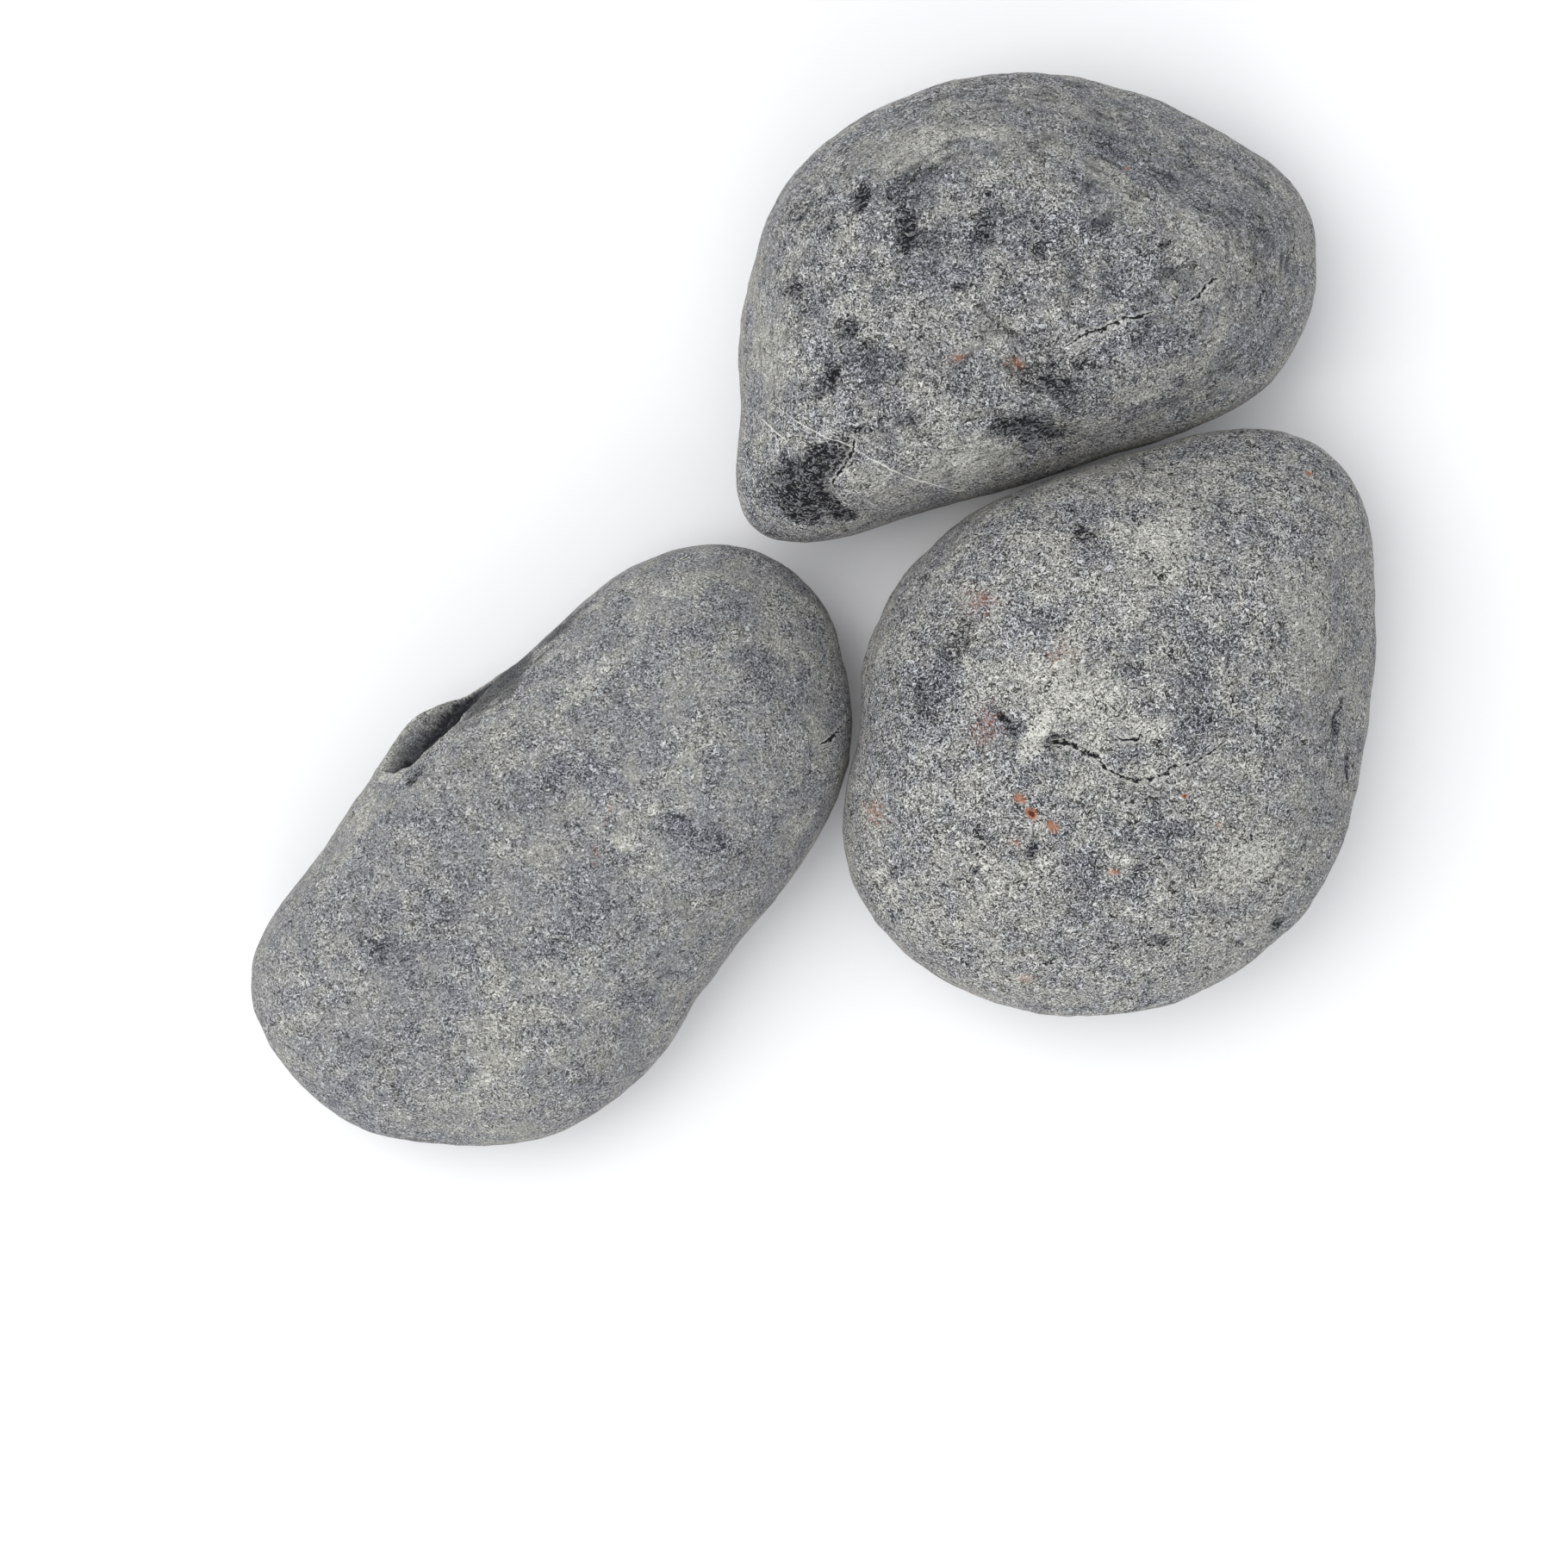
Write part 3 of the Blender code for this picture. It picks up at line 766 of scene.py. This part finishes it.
def grain_over(tree, place, grit):
    """Grit, plus pale curls of bruised crystal with a painted highlight, less a painted shadow beside each.
    Both are contours of one noise.
    """
    curls = {"Vector": place, "Scale": 1 / THREADS, "Detail": 1, "Distortion": 1.5}
    curls = add(tree, NOISE, curls)
    grain = add(tree, MATH, (grit, GRIT_WEIGHT, GRAIN_BASE), operation="MULTIPLY_ADD")
    # Pale curls of bruised crystal, which also carry a painted highlight.
    pale = contour(tree, curls, *CURL_AND_HIGHLIGHT)
    grain = add(tree, MATH, (pale, CURL_AND_HIGHLIGHT_WEIGHT, grain), operation="MULTIPLY_ADD")
    # A painted shadow just beside each curl, as its relief would cast.
    dark = contour(tree, curls, *CURL_SHADOW)
    return add(tree, MATH, (dark, CURL_SHADOW_WEIGHT, grain), operation="MULTIPLY_ADD")


# %% [markdown]
# ### Light and dark grains
# The grains stand apart where the skin is freshly bruised, and nearly merge where hands have polished the
# stone. They could be mixed straight from the noise, but as one number round zero their contrast can be
# turned up and down from patch to patch without changing how light the stone is.

# %% Grain as light and dark
GRAIN_MIDDLE = 0.535
TONE_MIDDLE = 0.355
BLOOM_WEIGHT = 0.07
VEIL_WEIGHT = 0.045
CRUMB_SCALE = 0.6 / SPECKS
CRUMB_WEIGHT = 0.15
CRISP_SCALE = 0.7 / MOTTLE
CRISP_RAMP = (0.3, 0.7)
LEAST_CRISP = 0.7
MOST_CRISP = 1.3
POLISH_LOSS = -0.4


def lightness(tree, place, grain, bloom, veil, polish, crispness):
    """How light each grain is, 0 to 1: its difference from the middle, times the patch's contrast."""
    tone = add(tree, MATH, (grain, GRAIN_MIDDLE), operation="SUBTRACT")
    tone = add(tree, MATH, (bloom, BLOOM_WEIGHT, tone), operation="MULTIPLY_ADD")
    tone = add(tree, MATH, (veil, VEIL_WEIGHT, tone), operation="MULTIPLY_ADD")
    crumbs = add(tree, NOISE, {"Vector": place, "Scale": CRUMB_SCALE, "Detail": 3, "Roughness": 0.7})
    crumbs = add(tree, MATH, (crumbs, HALF), operation="SUBTRACT")
    tone = add(tree, MATH, (crumbs, CRUMB_WEIGHT, tone), operation="MULTIPLY_ADD")
    patchy = add(tree, NOISE, {"Vector": place, "Scale": CRISP_SCALE})
    limits = (LEAST_CRISP * crispness, MOST_CRISP * crispness)
    crisp = add(tree, RAMP, (patchy, *CRISP_RAMP, *limits), **SMOOTH)
    dulled = add(tree, MATH, (polish, POLISH_LOSS, 1), operation="MULTIPLY_ADD")
    crisp = add(tree, MATH, (crisp, dulled), operation="MULTIPLY")
    return add(tree, MATH, (tone, crisp, TONE_MIDDLE), operation="MULTIPLY_ADD")


# %% [markdown]
# ### Layers
# Lava that flows as it cools sets in thin layers. Around the sides they come out as streaks, rubbed smooth
# and beige, and where the upper skin is rubbed off the layered rock is darker. The same darkening also lays
# painted shade on a face turned from the light, such as the wedge's bevel. Straight stripes would look like
# wood, so this is a noise squeezed flat by a Mapping node, broken up by the grit.

# %% Layers
STREAK_GRIT = 0.9
STREAK_RAMP = (0.72, 1.2)
SIDE_SCALE = 0.5 / MOTTLE
SIDE_RAMP = (0.3, 0.65, 0.2, 0.6)
BARE_ROCK_AND_SHADE_STREAKS = 2.4
BARE_ROCK_AND_SHADE_RAMP = (0.9, 2.1)


def with_layers(tree, place, colour, grit):
    """The colour with beige streaks around the sides, and darkened where the upper skin is rubbed off, which
    on the wedge's bevel is painted shade too.
    """
    layered = add(tree, MAPPING, {"Vector": place, "Scale": LAYER_STRETCH})
    layers = add(tree, NOISE, {"Vector": layered, "Scale": 1 / LAYERS, "Detail": 3, "Roughness": 0.6})
    streaks = add(tree, MATH, (grit, STREAK_GRIT, layers), operation="MULTIPLY_ADD")
    streaks = add(tree, RAMP, (streaks, *STREAK_RAMP), **SMOOTH)
    streaks = add(tree, MIX, {FACTOR: streaks, BELOW: SIDE_DARK, ABOVE: SIDE_LIGHT}, **COLOURS)
    patchy = add(tree, NOISE, {"Vector": place, "Scale": SIDE_SCALE})
    patchy = add(tree, RAMP, (patchy, *SIDE_RAMP), **SMOOTH)
    side = add(tree, MARK, out="Fac", attribute_name="side")
    side = add(tree, MATH, (side, patchy), operation="MULTIPLY")
    colour = add(tree, MIX, {FACTOR: side, BELOW: colour, ABOVE: streaks}, **COLOURS)

    # Darker layered rock, and painted shade on the wedge's bevel.
    bare_rock_and_shade = add(tree, MARK, out="Fac", attribute_name="bare_rock_and_shade")
    bare_rock_and_shade = add(tree, MATH, (layers, BARE_ROCK_AND_SHADE_STREAKS, bare_rock_and_shade), operation="MULTIPLY_ADD")
    bare_rock_and_shade = add(tree, RAMP, (bare_rock_and_shade, *BARE_ROCK_AND_SHADE_RAMP), **SMOOTH)
    return add(tree, MIX, {FACTOR: bare_rock_and_shade, BELOW: colour, ABOVE: BARE_ROCK_AND_SHADE_TINT}, blend_type="MULTIPLY", **COLOURS)


# %% [markdown]
# ### Scars
# Where the skin is knocked off, the rock shows charcoal grains with worm-like gaps between them, wider and
# joined up where the scar is deep. A dark patch alone would look like a stain. The gaps are a contour whose
# width follows the depth in the scar mark.

# %% Scars
GAP_WIDTH_RAMP = (-0.3, 0.8, 0.0, 0.06)
GAP_EDGE = (0.03, -0.02)
NEAR_SCAR = (-0.25, -0.05)
BROKEN_RAMP = (0.35, 0.7)
SCAR_SHADE = (-0.05, 0.6, 0.0, 0.8)


def with_scars(tree, place, colour, grain, deep):
    """The colour with broken rock and its gaps, and how far into a gap a point is."""
    along = add(tree, MAPPING, {"Vector": place, "Scale": GAP_STRETCH})
    gaps = add(tree, NOISE, {"Vector": along, "Scale": 1 / GAPS, "Distortion": 1.0})
    gaps = add(tree, MATH, (gaps, HALF), operation="SUBTRACT")
    gaps = add(tree, MATH, (gaps,), operation="ABSOLUTE")
    width = add(tree, RAMP, (deep, *GAP_WIDTH_RAMP), **SMOOTH)
    gaps = add(tree, MATH, (gaps, width), operation="SUBTRACT")
    gaps = add(tree, RAMP, (gaps, *GAP_EDGE), **SMOOTH)
    near = add(tree, RAMP, (deep, *NEAR_SCAR), **SMOOTH)
    gaps = add(tree, MATH, (gaps, near), operation="MULTIPLY")
    grains = add(tree, RAMP, (grain, *BROKEN_RAMP), **SMOOTH)
    broken = add(tree, MIX, {FACTOR: grains, BELOW: BROKEN, ABOVE: BROKEN_LIGHT}, **COLOURS)
    shade = add(tree, RAMP, (deep, *SCAR_SHADE), **SMOOTH)
    colour = add(tree, MIX, {FACTOR: shade, BELOW: colour, ABOVE: broken}, **COLOURS)
    return add(tree, MIX, {FACTOR: gaps, BELOW: colour, ABOVE: CRACK}, **COLOURS), gaps


# %% [markdown]
# ### Creases
# Every worn stone has short broken hair cracks, each with a pale lip where its edge is bruised. Listing
# hundreds of them by hand would take too long. Two contours of one noise, side by side, make crease and lip
# together, and a second noise keeps them to a few patches.

# %% Creases
CREASE = (0.50, 0.022)
CREASE_LIP = (0.53, 0.014)
CREASE_PATCHES = (0.56, 0.64)
CREASE_PATCH_SCALE = 1.25 / CREASES
CREASE_STRENGTH = 0.25
LIP_STRENGTH = 0.5


def with_creases(tree, place, colour, crispness):
    """The colour with creases and their lips, and how far into a crease a point is."""
    field = add(tree, NOISE, {"Vector": place, "Scale": 1 / CREASES, "Detail": 4, "Roughness": 0.65})
    here = add(tree, NOISE, {"Vector": place, "Scale": CREASE_PATCH_SCALE, "Detail": 1})
    here = add(tree, RAMP, (here, *CREASE_PATCHES, 0.0, CREASE_STRENGTH * crispness), **SMOOTH)
    lip = add(tree, MATH, (contour(tree, field, *CREASE_LIP), here), operation="MULTIPLY")
    lip = add(tree, MATH, (lip, LIP_STRENGTH), operation="MULTIPLY")
    crease = add(tree, MATH, (contour(tree, field, *CREASE), here), operation="MULTIPLY")
    colour = add(tree, MIX, {FACTOR: lip, BELOW: colour, ABOVE: VEIN}, **COLOURS)
    return add(tree, MIX, {FACTOR: crease, BELOW: colour, ABOVE: CRACK}, **COLOURS), crease


# %% [markdown]
# ### Rust
# Iron in the rock's minerals rusts and stains it orange around them. The rust mark gives each spot's place,
# and a fine noise added to it makes the stain creep between the grains, with a dark red core where it is
# strong.

# %% Rust
RUST_CREEP = 0.9
HALO_RAMP = (0.45, 1.25, 0.0, 0.75)
CORE_RAMP = (1.25, 1.55)


def with_rust(tree, place, colour):
    """The colour with an orange stain between the grains, and a dark red core where it is strong."""
    stain = add(tree, MARK, out="Fac", attribute_name="rust")
    ragged = add(tree, NOISE, {"Vector": place, "Scale": 1 / SPECKS})
    stain = add(tree, MATH, (ragged, RUST_CREEP, stain), operation="MULTIPLY_ADD")
    halo = add(tree, RAMP, (stain, *HALO_RAMP), **SMOOTH)
    core = add(tree, RAMP, (stain, *CORE_RAMP), **SMOOTH)
    colour = add(tree, MIX, {FACTOR: halo, BELOW: colour, ABOVE: RUST}, **COLOURS)
    return add(tree, MIX, {FACTOR: core, BELOW: colour, ABOVE: RUST_CORE}, **COLOURS)


# %% [markdown]
# ### Inside of the flake, with painted shade
# Fresh basalt is charcoal, because no grain of it has been bruised yet, and here it is painted darker still
# as the shade in the sunken hollow. It splits along its layers in small facets. A second material would need
# its own faces and a hard border. The mark of the hollow mixes the inside and its painted shade in instead.

# %% Inside of the flake, with painted shade
FACET_SCALE = 0.5 / GAPS
FACET_GRIT = 0.6
FACET_RAMP = (0.68, 1.08)


def with_inside(tree, place, colour, grit):
    """The colour with the charcoal inside where the flake has come off, painted darker as the hollow's shade:
    flat facets, with grit on them.
    """
    split = add(tree, MAPPING, {"Vector": place, "Scale": SPLIT_STRETCH})
    facets = add(tree, NOISE, {"Vector": split, "Scale": FACET_SCALE, "Detail": 4, "Roughness": 0.65})
    facets = add(tree, MATH, (grit, FACET_GRIT, facets), operation="MULTIPLY_ADD")
    facets = add(tree, RAMP, (facets, *FACET_RAMP), **SMOOTH)
    # Charcoal fresh rock, with painted shade of the hollow.
    inside = add(tree, MIX, {FACTOR: facets, BELOW: SHADED_INSIDE, ABOVE: SHADED_INSIDE_LIGHT}, **COLOURS)
    fresh_rock_and_shade = add(tree, MARK, out="Fac", attribute_name="fresh_rock_and_shade")
    return add(tree, MIX, {FACTOR: fresh_rock_and_shade, BELOW: colour, ABOVE: inside}, **COLOURS)


# %% [markdown]
# ### Veins and cracks
# Veins are cracks that a white mineral has filled, and open cracks are black with pale bruised lips. Curves
# laid on the skin would float over it. Here each line is the distance in its mark, made to waver and to
# widen and thin from grain to grain by two noises.

# %% Veins and cracks
# Distances and widths are in half widths of the line.
WAVER_SCALE = 0.62 / THREADS
WIDTH_SCALE = 0.83 / THREADS
WIDTH_RAMP = (0.35, 0.65, 0.0, 1.6)
VEIN_WAVER = 3.0
VEIN_WIDENING = -0.3
VEIN_EDGE = (0.85, 0.0)
VEIN_BREAKS = (0.35, 0.5, 0.45, 0.95)
CRACK_WAVER = 9.0
CRACK_EDGE = (0.5, -0.2)
CRACK_LIP = (2.6, 0.8, 0.0, 0.4)


def with_lines(tree, place, colour):
    """The colour with white veins and dark cracks with pale lips, and how far into a crack a point is."""
    waver = {"Vector": place, "Scale": WAVER_SCALE, "Detail": 4, "Roughness": 0.8}
    waver = add(tree, MATH, (add(tree, NOISE, waver), HALF), operation="SUBTRACT")
    width = add(tree, NOISE, {"Vector": place, "Scale": WIDTH_SCALE, "Detail": 3, "Roughness": 0.7})
    width = add(tree, RAMP, (width, *WIDTH_RAMP), **SMOOTH)

    vein = add(tree, MARK, out="Fac", attribute_name="vein")
    vein = add(tree, MATH, (waver, VEIN_WAVER, vein), operation="MULTIPLY_ADD")
    vein = add(tree, MATH, (vein,), operation="ABSOLUTE")
    vein = add(tree, MATH, (width, VEIN_WIDENING, vein), operation="MULTIPLY_ADD")
    vein = add(tree, RAMP, (vein, *VEIN_EDGE), **SMOOTH)
    broken = add(tree, NOISE, {"Vector": place, "Scale": 1 / MOTTLE, "Detail": 4})
    broken = add(tree, RAMP, (broken, *VEIN_BREAKS), **SMOOTH)
    vein = add(tree, MATH, (vein, broken), operation="MULTIPLY")
    colour = add(tree, MIX, {FACTOR: vein, BELOW: colour, ABOVE: VEIN}, **COLOURS)

    crack = add(tree, MARK, out="Fac", attribute_name="crack")
    crack = add(tree, MATH, (waver, CRACK_WAVER, crack), operation="MULTIPLY_ADD")
    crack = add(tree, MATH, (crack,), operation="ABSOLUTE")
    crack = add(tree, MATH, (crack, width), operation="SUBTRACT")
    lip = add(tree, RAMP, (crack, *CRACK_LIP), **SMOOTH)
    crack = add(tree, RAMP, (crack, *CRACK_EDGE), **SMOOTH)
    colour = add(tree, MIX, {FACTOR: lip, BELOW: colour, ABOVE: VEIN}, **COLOURS)
    return add(tree, MIX, {FACTOR: crack, BELOW: colour, ABOVE: CRACK}, **COLOURS), crack


# %% [markdown]
# ### The whole finish
# The steps are laid over each other as they came about: the grain and its bloom, with painted highlights and
# shadows on its curls, the layers, with painted shade on a face turned from the light, the scars, creases and
# rust, the fresh flake with its painted shade, and last the lines. Only a small relief is left to the bump,
# because swells, scars and grooves are in the mesh. The grit makes the roughness uneven too, so no highlight
# is even.

# %% Relief and gloss of the grain
# Heights are in mm.
GRAIN_HEIGHT = 0.18
SPECK_HEIGHT = -0.06
GAP_HEIGHT = -0.15
LINE_HEIGHT = -0.2
BUMP_STRENGTH = 0.7
SPECK_RAMP = (0.60, 0.70)
SPECK_STRENGTH = 0.2
ROUGHNESS_RAMP = (0.3, 0.8, 0.95, 0.8)
IOR = 1.5
SPECULAR = 0.25


# %% Water-worn basalt
def basalt(name, shift, warmth, crispness):
    """Water-worn basalt, with its patterns shifted so that no two stones match. Warmth goes from 0, all
    blue-grey, to 1, all under the bloom. Crispness is how strongly light and dark grains stand apart."""
    material = bpy.data.materials.new(name)
    material.use_nodes = True
    tree = material.node_tree
    shader = tree.nodes["Principled BSDF"]
    place = add(tree, "ShaderNodeTexCoord", out="Object")
    place = add(tree, MAPPING, {"Vector": place, "Location": (shift, 2 * shift, 3 * shift)})
    veil = add(tree, MARK, out="Fac", attribute_name="veil")
    polish = add(tree, MARK, out="Fac", attribute_name="polish")
    deep = add(tree, MARK, out="Fac", attribute_name="scar")
    grit = add(tree, NOISE, {"Vector": place, "Scale": 1 / GRIT, "Roughness": 0.7, "Distortion": 0.3})

    bloom = bloom_over(tree, place, veil, warmth)
    grain = grain_over(tree, place, grit)
    light = lightness(tree, place, grain, bloom, veil, polish, crispness)
    dark_grain = add(tree, MIX, {FACTOR: bloom, BELOW: BLUE_DARK, ABOVE: WARM_DARK}, **COLOURS)
    light_grain = add(tree, MIX, {FACTOR: bloom, BELOW: BLUE_LIGHT, ABOVE: WARM_LIGHT}, **COLOURS)
    colour = add(tree, MIX, {FACTOR: light, BELOW: dark_grain, ABOVE: light_grain}, **COLOURS)
    speck = add(tree, NOISE, {"Vector": place, "Scale": 1 / SPECKS, "Detail": 3, "Roughness": 0.7})
    speck = add(tree, RAMP, (speck, *SPECK_RAMP, 0.0, SPECK_STRENGTH * crispness), **SMOOTH)
    colour = add(tree, MIX, {FACTOR: speck, BELOW: colour, ABOVE: SPECK}, **COLOURS)

    colour = with_layers(tree, place, colour, grit)
    colour, gaps = with_scars(tree, place, colour, grain, deep)
    colour, crease = with_creases(tree, place, colour, crispness)
    colour = with_rust(tree, place, colour)
    colour = with_inside(tree, place, colour, grit)
    colour, crack = with_lines(tree, place, colour)

    height = add(tree, MATH, (grain, GRAIN_HEIGHT), operation="MULTIPLY")
    height = add(tree, MATH, (speck, SPECK_HEIGHT, height), operation="MULTIPLY_ADD")
    height = add(tree, MATH, (gaps, GAP_HEIGHT, height), operation="MULTIPLY_ADD")
    open_line = add(tree, MATH, (crack, crease), operation="MAXIMUM")
    height = add(tree, MATH, (open_line, LINE_HEIGHT, height), operation="MULTIPLY_ADD")
    bump = {"Height": height, "Distance": MM, "Strength": BUMP_STRENGTH}
    normal = add(tree, "ShaderNodeBump", bump)
    roughness = add(tree, RAMP, (grit, *ROUGHNESS_RAMP), **SMOOTH)
    tree.links.new(colour, shader.inputs["Base Color"])
    tree.links.new(normal, shader.inputs["Normal"])
    tree.links.new(roughness, shader.inputs["Roughness"])
    shader.inputs["IOR"].default_value = IOR
    shader.inputs["Specular IOR Level"].default_value = SPECULAR
    print("  nodes in", name + ":", len(tree.nodes))
    return material


# %% [markdown]
# ## The three stones
# All three are one kind of rock from one river, so they share the material and differ only in warmth and in
# how crisp their grain is. A copy of the material by hand would drift apart from the others. Here one
# function makes all three from two numbers each.

# %% The three stones
# Warmth and crispness of each stone, and how far apart in mm the patterns of two neighbouring seeds are.
FINISH = {"wedge_stone": (0.48, 3.8), "oval_stone": (0.46, 2.2), "broad_stone": (0.57, 4.4)}
SEED_SHIFT = 7

for stone in stones:
    made = stone_object(stone)
    shift = stone.seed * MM * SEED_SHIFT
    made.data.materials.append(basalt("water-worn basalt " + stone.body, shift, *FINISH[stone.node]))
    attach(made, stone.body)
    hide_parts(stone.node)

# %% [markdown]
# ## Finish
# The finished stones must keep the frame's size.
